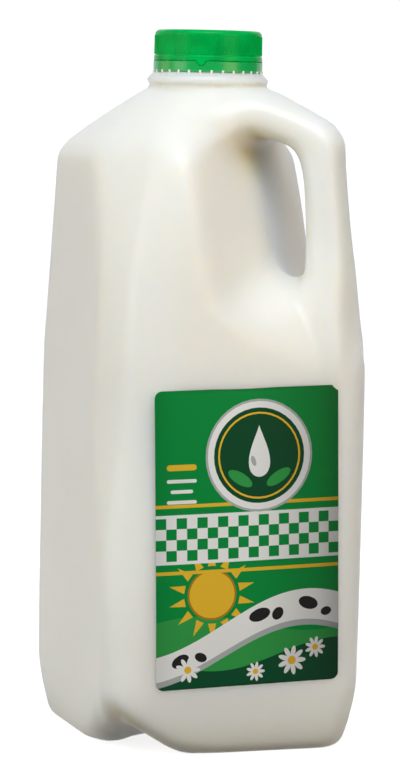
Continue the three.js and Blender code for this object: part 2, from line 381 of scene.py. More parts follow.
def half_side(z, form):
    """Half the plan's side: straight, then tapered, then drawn in to the neck, less the foot's inset."""
    side = form.half_side - TAPER * np.maximum(z - TAPER_START_Z, 0)
    edge = form.half_side - TAPER * (SHOULDER_EDGE_Z - TAPER_START_Z)
    t = np.clip((z - SHOULDER_EDGE_Z) / (NECK_Z - SHOULDER_EDGE_Z), -1, 1)
    shoulder = mix(edge, NECK_RADIUS, t) + 4 * SHOULDER_BULGE * np.maximum(t * (1 - t), 0)
    foot = FOOT_INSET * np.clip(1 - z / FOOT_HEIGHT, 0, FOOT_LOWEST) ** FOOT_POWER
    return smooth_min(side, shoulder, SHOULDER_EDGE_ROUND) - foot


def panel_bulge(across, z, form):
    """How far a face bows out at a place across it, and at height z."""
    width = np.clip(1 - (across / (BULGE_WIDTH * form.half_side)) ** 2, 0, 1)
    low = ramp(z, BULGE_LOW_SPAN[0] * FOOT_HEIGHT, BULGE_LOW_SPAN[1] * FOOT_HEIGHT)
    high = ramp(-z, -RIDGE_Z, -BULGE_HIGH_START * RIDGE_Z)
    return form.panel_bulge * width * (low * high)


def groove(x, y):
    """Height of the tent-shaped groove that widens to its open ends, and below 0 beside it."""
    t = np.abs(y) / GROOVE_END_Y
    half_width = mix(GROOVE_MIDDLE_HALF_WIDTH, GROOVE_END_HALF_WIDTH, t)
    height = mix(GROOVE_MIDDLE_HEIGHT, GROOVE_END_HEIGHT, t)
    away = np.sqrt(x * x + (GROOVE_RIDGE_ROUND * half_width) ** 2) / half_width
    return height * np.minimum((1 - away) / GROOVE_RIDGE_FLAT, 1)


def underside(x, y):
    """Height of the bottom: flat, with a shallow push-up and the groove."""
    reach = (np.abs(x) + np.abs(y)) * DIAGONAL
    push_up = PUSH_UP * ramp(-reach, -PUSH_UP_SIDE, PUSH_UP_EDGE - PUSH_UP_SIDE)
    return smooth_max(groove(x, y), push_up, GROOVE_ROUND)


def body_field(x, y, z, form):
    """Below 0 inside the body without handle and neck, and about the distance from its skin near it."""
    across = np.abs(y)
    front = (x + across) * DIAGONAL
    side = (x - across) * DIAGONAL
    t = np.clip((z - SHOULDER_EDGE_Z) / (NECK_Z - SHOULDER_EDGE_Z), 0, 1)
    radius = mix(form.corner_radius, NECK_RADIUS, t)
    core = half_side(z, form) - radius
    qx = np.abs(front) - core - panel_bulge(side, z, form)
    qy = np.abs(side) - core - panel_bulge(front, z, form)
    square = np.hypot(np.maximum(qx, 0), np.maximum(qy, 0)) + np.minimum(np.maximum(qx, qy), 0) - radius

    rise = z - FACET_WAIST_Z
    lean = np.where(rise > 0, -FACET_LEAN_UP, FACET_LEAN_DOWN)
    shoulder = FACET_SHOULDER_OFFSET + FACET_SHOULDER_SLOPE * (FACET_SHOULDER_Z - z)
    offset = smooth_min(FACET_OFFSET + lean * rise * rise, shoulder, SHOULDER_EDGE_ROUND)
    facet = across * math.cos(FACET_TURN) - x * math.sin(FACET_TURN) - offset

    fold = np.hypot(y, PINCH_FOLD)
    pinch_offset = PINCH_OFFSET - PINCH_LEAN * (z - PINCH_Z)
    pinch = x * math.sin(PINCH_TURN) + fold * math.cos(PINCH_TURN) - pinch_offset
    pinch = pinch / math.hypot(1, PINCH_LEAN)
    lip = (z - LIP_Z + LIP_FALL * across) / math.hypot(1, LIP_FALL)
    above_ridge = z - RIDGE_Z + RIDGE_FALL * side
    panel = (front + RIDGE_SLOPE * above_ridge - form.half_side) / math.hypot(1, RIDGE_SLOPE)
    hollow = smooth_min(pinch, smooth_max(lip, panel, LIP_ROUND), PINCH_BLEND)
    ceiling = (CEILING_Z + CEILING_RISE * across - z) / math.hypot(1, CEILING_RISE)
    outer = np.minimum(across / CEILING_OUTER_Y, 1)
    hollow = smooth_min(hollow, ceiling, mix(CEILING_BLEND_MIDDLE, CEILING_BLEND_OUTER, outer))

    soft = mix(FACET_ROUND_LEFT, FACET_ROUND_RIGHT, ramp(x, *FACET_ROUND_SPAN))
    column = smooth_max(square, facet, soft)
    soft = mix(RIDGE_ROUND, HOLLOW_ROUND, ramp(z, RIDGE_Z, LIP_Z))
    soft = soft + (HOLLOW_ROUND_TOP - HOLLOW_ROUND) * ramp(z, *HOLLOW_TOP_SPAN)
    column = smooth_max(column, hollow, soft)
    soft = mix(GROOVE_EDGE_ROUND, GROOVE_LEFT_ROUND, ramp(-x, *GROOVE_LEFT_SPAN))
    soft = mix(FOOT_EDGE_ROUND, soft, ramp(groove(x, y), *GROOVE_EDGE_SPAN))
    column = smooth_max(column, underside(x, y) - z, soft)
    return np.maximum(column, z - NECK_Z)


def grip_samples():
    """Points along the grip's middle line with half depth and half width, on a Catmull-Rom curve."""
    line = np.array(GRIP_LINE) * MM
    line = np.vstack([2 * line[0] - line[1], line, 2 * line[-1] - line[-2]])
    t = np.arange(GRIP_STEPS)[:, None] / GRIP_STEPS
    spans = []
    for a, b, c, d in zip(line, line[1:], line[2:], line[3:]):
        square = (2 * a - 5 * b + 4 * c - d) * t**2
        cube = (3 * b - a - 3 * c + d) * t**3
        spans.append(0.5 * (2 * b + (c - a) * t + square + cube))
    spans.append(line[-2:-1])
    return np.vstack(spans)


def grip_field(x, y, z, samples):
    """Signed distance from the grip's skin, measured outwards from its middle line."""
    points = samples[:, :2]
    sizes = samples[:, 2:]
    flat = np.stack([x, z], axis=1)
    result = np.empty(len(flat))
    for start in range(0, len(flat), GRIP_BATCH):
        batch = slice(start, start + GRIP_BATCH)
        part = flat[batch]
        gap = ((part[:, None, :] - points[None]) ** 2).sum(axis=2)
        nearest = np.clip(gap.argmin(axis=1), 1, len(points) - 2)
        best = np.full(len(part), np.inf)
        depth = np.zeros(len(part))
        width = np.zeros(len(part))
        for step in (-1, 0):
            here = nearest + step
            a = points[here]
            along = points[here + 1] - a
            share = np.clip(((part - a) * along).sum(axis=1) / (along**2).sum(axis=1), 0, 1)
            away = np.hypot(*(part - a - along * share[:, None]).T)
            size = sizes[here] * (1 - share[:, None]) + sizes[here + 1] * share[:, None]
            closer = away < best
            best = np.where(closer, away, best)
            depth = np.where(closer, size[:, 0], depth)
            width = np.where(closer, size[:, 1], width)
        sideways = np.abs(y[batch])
        ratio = ((best / depth) ** GRIP_POWER + (sideways / width) ** GRIP_POWER) ** (1 / GRIP_POWER)
        away = np.hypot(best, sideways) + TINY
        result[batch] = away - away / (ratio + TINY)
    return result


def neck_field(x, y, z):
    """Below 0 inside the neck, its ring and its mouth."""
    radius, height = (np.array(column) * MM for column in zip(*NECK_OUTLINE))
    wall = np.hypot(x, y) - np.interp(z, height, radius)
    return np.maximum(np.maximum(NECK_SLOPE * wall, z - height[-1]), height[0] - z)


class Bottle:
    """The bottle's outer surface: body, handle and neck in one."""

    def __init__(self, form):
        self.form = form
        self.samples = grip_samples()

    def field(self, p):
        """Below 0 inside the bottle."""
        x, y, z = p[:, 0], p[:, 1], p[:, 2]
        shape = smooth_min(body_field(x, y, z, self.form), neck_field(x, y, z), NECK_BLEND)
        near = (x > 0) & (np.abs(y) < GRIP_REACH_Y) & (z > GRIP_REACH_Z) & (z < NECK_Z)
        grip = np.full(len(p), FAR_AWAY)
        grip[near] = grip_field(x[near], y[near], z[near], self.samples)
        blend = mix(GRIP_BLEND_LOW, GRIP_BLEND_HIGH, ramp(z, GRIP_BLEND_START_Z, LIP_Z))
        return smooth_min(shape, grip, blend)

    def slope(self, p):
        """The field's gradient, by central differences."""
        steps = np.eye(3) * GRADIENT_STEP
        return np.stack(
            [(self.field(p + s) - self.field(p - s)) / (2 * GRADIENT_STEP) for s in steps], axis=1
        )

    def settled(self, p, rounds=2):
        """Points moved onto the surface along the field's gradient."""
        for _ in range(rounds):
            slope = self.slope(p)
            steep = np.maximum((slope**2).sum(axis=1), LEAST_SLOPE)
            p = p - slope * (self.field(p) / steep)[:, None]
        return p

    def mesh(self):
        """Points and quads of the surface, on a grid, evened out and settled onto the exact shape."""
        step = self.form.mesh_step
        reach = self.form.half_side / DIAGONAL
        low = np.array([-reach, -reach, 0]) - GRID_MARGIN * step
        high = np.array([reach, reach, NECK_OUTLINE[-1][1] * MM]) + GRID_MARGIN * step
        axes = [np.arange(a, b, step) for a, b in zip(low, high)]
        block = np.stack(np.meshgrid(*axes, indexing="ij"), axis=-1)
        values = self.field(block.reshape(-1, 3)).reshape(block.shape[:3])
        grid = openvdb.FloatGrid(FAR_AWAY)
        near = GRID_MARGIN * step
        grid.copyFromArray(np.clip(values, -near, near).astype(np.float32))
        points, quads = grid.convertToQuads(0)
        points = points.astype(float) * step + low
        quads = quads.astype(np.int64)
        edges = np.vstack([quads[:, [i, (i + 1) % 4]] for i in range(4)])
        edges = np.vstack([edges, edges[:, ::-1]])
        count = np.bincount(edges[:, 0], minlength=len(points))
        for _ in range(RELAX_ROUNDS):
            points = self.settled(points, 1)
            mean = [np.bincount(edges[:, 0], points[edges[:, 1], i], len(points)) / count for i in range(3)]
            points = (points + np.stack(mean, axis=1)) / 2
        points = self.settled(points)
        corner = points[quads]
        normal = np.cross(corner[:, 2] - corner[:, 0], corner[:, 3] - corner[:, 1])
        if (normal * self.slope(corner.mean(axis=1))).sum() < 0:
            quads = quads[:, ::-1]
        return points, quads

    def painted_fold_shade(self, points):
        """Painted shade mask: 0 on open faces, towards 1 where the surface folds in on itself."""
        slope = self.slope(points)
        normal = slope / np.maximum(np.linalg.norm(slope, axis=1), 0.1)[:, None]
        total = np.zeros(len(points))
        for reach, weight in FOLD_SHADE_REACHES:
            total += weight * np.clip(1 - self.field(points + normal * reach) / reach, 0, 1)
        return total


def painted_warm_shade(points):
    """Painted warm shade mask, a brownish darkening: at the finger hole's top, in the groove and round the
    foot's edge.
    """
    x, y, z = points.T
    offsets = (x - AMBER_SPOT[0], y, z - AMBER_SPOT[1])
    hole = np.exp(-sum((offset / reach) ** 2 for offset, reach in zip(offsets, AMBER_REACH)))
    bottom = underside(x, y)
    # Painted shade down the groove's valley, and darker towards the foot's bottom
    valley = ramp(bottom - z, *AMBER_GROOVE_DEPTH) * ramp(bottom, *AMBER_GROOVE_HEIGHT)
    foot = ramp(-z, -AMBER_FOOT_Z, 0)
    return np.clip(hole + AMBER_IN_GROOVE * valley + AMBER_AT_FOOT * foot, 0, 1)


def placed(name, data):
    """A new object in the scene."""
    made = bpy.data.objects.new(name, data)
    bpy.context.scene.collection.objects.link(made)
    return made


def baked(made):
    """An object's mesh with its modifiers applied."""
    return bpy.data.meshes.new_from_object(made.evaluated_get(bpy.context.evaluated_depsgraph_get()))


def mesh_object(name, points, faces):
    """A new smooth-shaded mesh object in the scene."""
    mesh = bpy.data.meshes.new(name)
    mesh.from_pydata([tuple(p) for p in points], [], [tuple(map(int, f)) for f in faces])
    mesh.update()
    mesh.shade_smooth()
    return placed(name, mesh)


def revolved(name, profile, lowered):
    """A closed turned shell. profile is a closed outline of (radius, height), and lowered(angle, height)
    says how far a point drops, which makes the tab."""
    points = []
    for i in range(AROUND_CAP):
        angle = 2 * math.pi * i / AROUND_CAP
        for radius, z in profile:
            drop = lowered(angle, z)
            points.append((radius * math.cos(angle), radius * math.sin(angle), z - drop))
    count = len(profile)
    faces = []
    for i in range(AROUND_CAP):
        here, there = i * count, ((i + 1) % AROUND_CAP) * count
        for j in range(count):
            k = (j + 1) % count
            faces.append((here + j, there + j, there + k, here + k))
    made = mesh_object(name, points, faces)
    face_outwards(made)
    return made


def face_outwards(made):
    """Joins points that coincide and turns all normals outwards."""
    shell = bmesh.new()
    shell.from_mesh(made.data)
    bmesh.ops.remove_doubles(shell, verts=shell.verts, dist=1e-7)
    bmesh.ops.recalc_face_normals(shell, faces=shell.faces)
    shell.to_mesh(made.data)
    shell.free()


def shade_by_angle(made, degrees=38):
    """Smooth shading that keeps the sharper edges crisp."""
    made.data.shade_smooth()
    made.data.set_sharp_from_angle(angle=math.radians(degrees))


def arc(radius, z, size, start, end, steps=6):
    """Points of an arc in a profile, round the middle (radius, z)."""
    turn = [math.radians(start + (end - start) * i / steps) for i in range(steps + 1)]
    return [(radius + size * math.cos(a), z + size * math.sin(a)) for a in turn]


class NodeSet:
    """Adds nodes to a tree in one line each."""

    def __init__(self, tree):
        self.tree = tree

    def add(self, kind, inputs=None, **settings):
        node = self.tree.nodes.new(kind)
        for key, value in settings.items():
            setattr(node, key, value)
        for key, value in (inputs or {}).items():
            if isinstance(value, bpy.types.NodeSocket):
                self.tree.links.new(value, node.inputs[key])
            else:
                node.inputs[key].default_value = value
        return node

    def math(self, operation, a, b=0.5):
        return self.add("ShaderNodeMath", {0: a, 1: b}, operation=operation).outputs[0]

    def ramp(self, value, start, end, low=0.0, high=1.0):
        inputs = {"Value": value, "From Min": start, "From Max": end, "To Min": low, "To Max": high}
        return self.add("ShaderNodeMapRange", inputs, interpolation_type="SMOOTHSTEP").outputs[0]

    def blend(self, share, a, b):
        node = self.add("ShaderNodeMix", {"Factor": share}, data_type="RGBA")
        for socket, value in ((node.inputs[6], a), (node.inputs[7], b)):
            if isinstance(value, bpy.types.NodeSocket):
                self.tree.links.new(value, socket)
            else:
                socket.default_value = value
        return node.outputs[2]

    def noise(self, where, scale, detail, roughness=0.5):
        inputs = {"Vector": where, "Scale": scale, "Detail": detail, "Roughness": roughness}
        return self.add("ShaderNodeTexNoise", inputs).outputs["Fac"]

    def relief(self, where, depth, scale, detail, roughness=0.5):
        """Noise as a height from 0 to depth."""
        return self.math("MULTIPLY", self.noise(where, scale, detail, roughness), depth)

    def attribute(self, name, output="Fac"):
        """What the mesh says in one of its attributes."""
        return self.add("ShaderNodeAttribute", attribute_name=name).outputs[output]

    def surface(self, shader, colour, height, rough, settings):
        """Wires colour, fine relief and roughness to the shader, and sets its uniform values."""
        bump = self.add("ShaderNodeBump", {"Height": height, "Strength": 1.0, "Distance": 1.0})
        for name, socket in (("Base Color", colour), ("Normal", bump.outputs[0]), ("Roughness", rough)):
            self.tree.links.new(socket, shader.inputs[name])
        for name, value in settings.items():
            shader.inputs[name].default_value = value


def new_material(name):
    """A material, its node helper, its principled shader and a place's object coordinates."""
    material = bpy.data.materials.new(name)
    material.use_nodes = True
    nodes = NodeSet(material.node_tree)
    place = nodes.add("ShaderNodeTexCoord").outputs["Object"]
    return material, nodes, material.node_tree.nodes["Principled BSDF"], place


def opaque(colour):
    """A colour with full alpha."""
    return (*colour, 1.0)


def milk_plastic(form):
    """Thin satin polyethylene with milk behind it: soft light inside, a fine skin and the mould's seam, with
    painted shade that darkens and warms the folds and painted warm shade at the finger hole's top, in the
    groove and round the foot.
    """
    material, nodes, shader, place = new_material("milk_plastic")
    axes = nodes.add("ShaderNodeSeparateXYZ", {0: place}).outputs
    # Painted shade: the colour darkens and warms in the folds
    fold_shade_share = nodes.ramp(nodes.attribute("painted_fold_shade"), 0.3, 1.0)
    cloud = nodes.ramp(nodes.noise(place, 38, 3), 0.35, 0.7, 0.0, 0.05)
    colour = nodes.blend(nodes.math("ADD", fold_shade_share, cloud), opaque(form.colour), opaque(form.fold_shade_colour))
    # Painted warm shade: a brownish darkening at the finger hole's top, in the groove and round the foot
    colour = nodes.blend(nodes.attribute("painted_warm_shade"), colour, opaque(form.warm_shade_colour))

    seam = nodes.ramp(nodes.math("ABSOLUTE", axes["Y"]), 0.12 * MM, 0.42 * MM, 0.12 * MM, 0.0)
    waves = nodes.relief(place, 0.22 * MM, 42, 1)
    skin = nodes.relief(place, 0.012 * MM, 900, 3, 0.6)
    height = nodes.math("ADD", nodes.math("ADD", seam, waves), skin)
    rough = nodes.ramp(nodes.noise(place, 160, 4), 0.3, 0.7, 0.34, 0.42)
    nodes.surface(shader, colour, height, rough, {
        "Subsurface Weight": 0.9,
        "Subsurface Radius": (1.0, 0.85, 0.65),
        "Subsurface Scale": 16 * MM,
        "IOR": 1.5,
    })
    return material


def cap_plastic(form):
    """Glossy moulded polypropylene, a little uneven in tone."""
    material, nodes, shader, place = new_material("cap_plastic")
    deep = tuple(0.72 * c for c in form.colour)
    cloud = nodes.ramp(nodes.noise(place, 110, 3), 0.3, 0.75)
    colour = nodes.blend(cloud, opaque(form.colour), opaque(deep))
    skin = nodes.relief(place, 0.006 * MM, 1500, 2)
    rough = nodes.ramp(nodes.noise(place, 260, 3), 0.3, 0.7, 0.16, 0.26)
    nodes.surface(shader, colour, skin, rough, {
        "Specular IOR Level": 0.08,
        "Subsurface Weight": 0.12,
        "Subsurface Radius": (0.2, 1.0, 0.35),
        "Subsurface Scale": 1.5 * MM,
    })
    return material


def label_film():
    """Printed film under clear varnish: its colours are in the mesh's own print attribute, with painted
    shade towards the right edge and the corners.
    """
    material, nodes, shader, place = new_material("label_film")
    ink = nodes.attribute("print", "Color")
    # Painted shade: a darker copy of the ink, laid on towards the right edge and the corners
    shaded_ink = nodes.add("ShaderNodeHueSaturation", {"Color": ink, "Value": 0.3}).outputs[0]
    ripple = nodes.relief(place, 0.08 * MM, 70, 2)
    grain = nodes.relief(place, 0.004 * MM, 1100, 2)
    height = nodes.math("ADD", ripple, grain)
    rough = nodes.ramp(nodes.noise(place, 300, 3), 0.3, 0.7, 0.3, 0.4)
    colour = nodes.blend(nodes.attribute("painted_right_shade"), ink, shaded_ink)
    nodes.surface(shader, colour, height, rough, {"Specular IOR Level": 0.07})
    return material


def floor_paper(glow):
    """Plain pale paper, a little uneven, with a light of its own."""
    material, nodes, shader, place = new_material("floor_paper")
    cloud = nodes.ramp(nodes.noise(place, 3, 2), 0.3, 0.7)
    colour = nodes.blend(cloud, (0.86, 0.86, 0.86, 1), (0.9, 0.9, 0.9, 1))
    nodes.tree.links.new(colour, shader.inputs["Base Color"])
    shader.inputs["Roughness"].default_value = 0.9
    shader.inputs["Emission Color"].default_value = (1, 1, 1, 1)
    shader.inputs["Emission Strength"].default_value = glow
    return material


def pegs_tree():
    """Geometry nodes: upright pegs, evenly spaced round a ring, as plain mesh with a material."""
    tree = bpy.data.node_groups.new("Pegs round a ring", "GeometryNodeTree")
    face = tree.interface
    face.new_socket("Pegs", in_out="OUTPUT", socket_type="NodeSocketGeometry")
    for name in ("Count", "Sides"):
        face.new_socket(name, in_out="INPUT", socket_type="NodeSocketInt")
    for name in ("Ring radius", "Peg radius", "Top radius", "Bottom", "Height"):
        face.new_socket(name, in_out="INPUT", socket_type="NodeSocketFloat")
    face.new_socket("Material", in_out="INPUT", socket_type="NodeSocketMaterial")
    nodes = NodeSet(tree)
    given = nodes.add("NodeGroupInput").outputs
    ring = nodes.add("GeometryNodeMeshCircle", {"Vertices": given["Count"], "Radius": given["Ring radius"]})
    lift = nodes.add("ShaderNodeCombineXYZ", {"Z": given["Bottom"]})
    raised = nodes.add("GeometryNodeSetPosition", {"Geometry": ring.outputs[0], "Offset": lift.outputs[0]})
    peg = nodes.add("GeometryNodeMeshCone", {
        "Vertices": given["Sides"],
        "Radius Top": given["Top radius"],
        "Radius Bottom": given["Peg radius"],
        "Depth": given["Height"],
    })
    places = {"Points": raised.outputs[0], "Instance": peg.outputs[0]}
    copies = nodes.add("GeometryNodeInstanceOnPoints", places)
    real = nodes.add("GeometryNodeRealizeInstances", {"Geometry": copies.outputs[0]})
    paint = {"Geometry": real.outputs[0], "Material": given["Material"]}
    painted = nodes.add("GeometryNodeSetMaterial", paint)
    nodes.add("NodeGroupOutput", {0: painted.outputs[0]})
    return tree


def pegs(name, material, **sizes):
    """A plain mesh object made by the pegs tree."""
    tree = bpy.data.node_groups.get("Pegs round a ring") or pegs_tree()
    holder = mesh_object(name + "_holder", [], [])
    modifier = holder.modifiers.new("pegs", "NODES")
    modifier.node_group = tree
    values = {key.replace("_", " ").capitalize(): value for key, value in sizes.items()}
    values["Material"] = material
    for socket in tree.interface.items_tree:
        if socket.in_out == "INPUT":
            modifier[socket.identifier] = values[socket.name]
    mesh = baked(holder)
    bpy.data.objects.remove(holder)
    mesh.name = name
    return placed(name, mesh)


def finish_piece(made, material=None):
    """Gives a piece its material and slot, and lets it ride on the jug."""
    if material:
        made.data.materials.clear()
        made.data.materials.append(material)
    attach(made, BODY)


class MILKJUG_OT_bottle(bpy.types.Operator):
    """Makes the bottle: body, handle, neck ring and plain mouth in one skin"""

    bl_idname = "milkjug.bottle"
    bl_label = "Bottle"

    def execute(self, context):
        form = context.scene.jug_body
        bottle = Bottle(form)
        points, quads = bottle.mesh()
        made = mesh_object("bottle", points, quads)
        # Painted shade masks for the plastic's colour: in the folds, and warm at the hole's top, the groove
        # and the foot
        for name, values in (("painted_fold_shade", bottle.painted_fold_shade(points)), ("painted_warm_shade", painted_warm_shade(points))):
            shade = made.data.attributes.new(name, "FLOAT", "POINT")
            shade.data.foreach_set("value", values.astype(np.float32))
        finish_piece(made, milk_plastic(form))
        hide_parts("jug")
        return {"FINISHED"}


def tab_drop(radius):
    """How far the break line dips at an angle: a short notch with a flat bottom."""

    def drop(angle, z):
        turn = (angle - TAB_ANGLE + math.pi) % (2 * math.pi) - math.pi
        away = abs(turn) * radius
        share = min(max((TAB_HALF_WIDTH - away) / (TAB_HALF_WIDTH - TAB_FLAT), 0), 1)
        near = abs(z - BREAK_Z) < BREAK_GAP / 2 + BREAK_BEVEL + BREAK_STEP
        return TAB_DEPTH * share if near else 0.0

    return drop


class MILKJUG_OT_cap(bpy.types.Operator):
    """Makes the screw cap: its shell, the hem over the break line and the grip ribs"""

    bl_idname = "milkjug.cap"
    bl_label = "Cap"

    def execute(self, context):
        form = context.scene.jug_cap
        material = cap_plastic(form)
        bottom = BREAK_Z + BREAK_GAP / 2
        hem = form.radius + HEM_PROUD
        inner = form.radius - CAP_WALL
        hem_top = bottom + HEM_HEIGHT
        dish = CAP_TOP_Z - CAP_DISH
        profile = [
            (CAP_AXIS, CAP_TOP_Z - CAP_TOP_WALL),
            (inner, CAP_TOP_Z - CAP_TOP_WALL),
            (inner, bottom),
            (hem - 0.15 * MM, bottom),
            (hem, bottom + 0.12 * MM),
            *arc(hem - HEM_ROUND, hem_top - HEM_ROUND, HEM_ROUND, 0, 70, 4),
            (form.radius, hem_top + 0.05 * MM),
            (form.radius, hem_top + 0.4 * MM),
            *arc(form.radius - CAP_TOP_ROUND, CAP_TOP_Z - CAP_TOP_ROUND, CAP_TOP_ROUND, 0, 84, 9),
            (0.8 * form.radius, CAP_TOP_Z + 0.02 * MM),
            (0.76 * form.radius, dish),
            (0.4 * form.radius, dish),
            (CAP_AXIS, CAP_TOP_Z - 0.2 * MM),
        ]
        shell = revolved("cap_shell", profile, tab_drop(form.radius))
        shade_by_angle(shell)
        finish_piece(shell, material)
        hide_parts("cap")
        ribs = pegs(
            "cap_ribs", material, count=form.ribs, sides=8, ring_radius=form.radius,
            peg_radius=form.rib_radius, top_radius=RIB_TOP_SHARE * form.rib_radius,
            bottom=RIB_BOTTOM_Z, height=RIB_TOP_Z - RIB_BOTTOM_Z,
        )
        shade_by_angle(ribs)
        finish_piece(ribs)
        return {"FINISHED"}


class MILKJUG_OT_band(bpy.types.Operator):
    """Makes the tamper band, the bridges that hold it to the cap and the neck's lugs under it"""

    bl_idname = "milkjug.band"
    bl_label = "Tamper band"

    def execute(self, context):
        form = context.scene.jug_cap
        material = bpy.data.materials["cap_plastic"]
        outer = form.radius + BAND_PROUD
        inner = outer - CAP_WALL
        top = BREAK_Z - BREAK_GAP / 2
        profile = [
            (inner, BAND_BOTTOM_Z),
            *arc(outer - BAND_ROUND, BAND_BOTTOM_Z + BAND_ROUND, BAND_ROUND, -90, 0, 4),
            (outer, BAND_BOTTOM_Z + 1.2 * MM),
            (outer, top - BREAK_BEVEL),
            (outer - BREAK_BEVEL, top - BREAK_STEP),
            (outer - BREAK_BEVEL - 0.1 * MM, top),
            (inner, top),
        ]
        band = revolved("tamper_band_ring", profile, tab_drop(form.radius))
        shade_by_angle(band)
        finish_piece(band, material)
        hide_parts("tamper_band")
        bridges = pegs(
            "band_bridges", material, count=form.bridges, sides=8, ring_radius=outer - BRIDGE_INSET,
            peg_radius=BRIDGE_RADIUS, top_radius=BRIDGE_RADIUS,
            bottom=top - BRIDGE_SUNK, height=BREAK_GAP + 0.5 * MM,
        )
        finish_piece(bridges)
        white = bpy.data.materials["milk_plastic"].copy()
        white.name = "neck_plastic"
        white.node_tree.nodes["Principled BSDF"].inputs["Subsurface Weight"].default_value = 0
        lugs = pegs(
            "neck_lugs", white, count=LUGS, sides=10, ring_radius=LUG_RING,
            peg_radius=LUG_RADIUS, top_radius=LUG_RADIUS, bottom=LUG_BOTTOM_Z, height=LUG_HEIGHT,
        )
        finish_piece(lugs)
        return {"FINISHED"}


def disc(x, y, radius, squash=1.0, turn=0.0, steps=40):
    """An ellipse's outline: radius along its own X, and squash times that along its Y."""
    outline = []
    for i in range(steps):
        a = 2 * math.pi * i / steps
        u, v = radius * math.cos(a), radius * squash * math.sin(a)
        across = u * math.cos(turn) - v * math.sin(turn)
        upright = u * math.sin(turn) + v * math.cos(turn)
        outline.append((x + across, y + upright))
    return outline


def ray(x, y, near, far, half_width, turn):
    """A pointed ray that looks away from (x, y)."""
    along = (math.cos(turn), math.sin(turn))
    corners = ((near, -half_width), (far, 0), (near, half_width))
    return [(x + r * along[0] - c * along[1], y + r * along[1] + c * along[0]) for r, c in corners]


def bar(x, y, length, height, steps=6):
    """A bar with round ends, round its middle."""
    half = length / 2 - height / 2
    right = [(x + half + px, y + py) for px, py in arc(0, 0, height / 2, -90, 90, steps)]
    left = [(x - half + px, y + py) for px, py in arc(0, 0, height / 2, 90, 270, steps)]
    return right + left


def drop_shape(x, y, height, steps=28):
    """A falling drop: a point above and a round belly below."""
    outline = []
    for i in range(steps):
        a = 2 * math.pi * i / steps
        belly = 0.31 * height * math.sin(a) * math.sin(a / 2) ** 1.5
        outline.append((x - belly, y + 0.5 * height * math.cos(a)))
    return outline


def swept(width, middle, half_height, steps=48):
    """A band across the label: middle(share) is its middle's height and half_height(share) half its own."""
    shares = [i / steps for i in range(steps + 1)]
    low = [((s - 0.5) * width, middle(s) - half_height(s)) for s in shares]
    high = [((s - 0.5) * width, middle(s) + half_height(s)) for s in reversed(shares)]
    return low + high


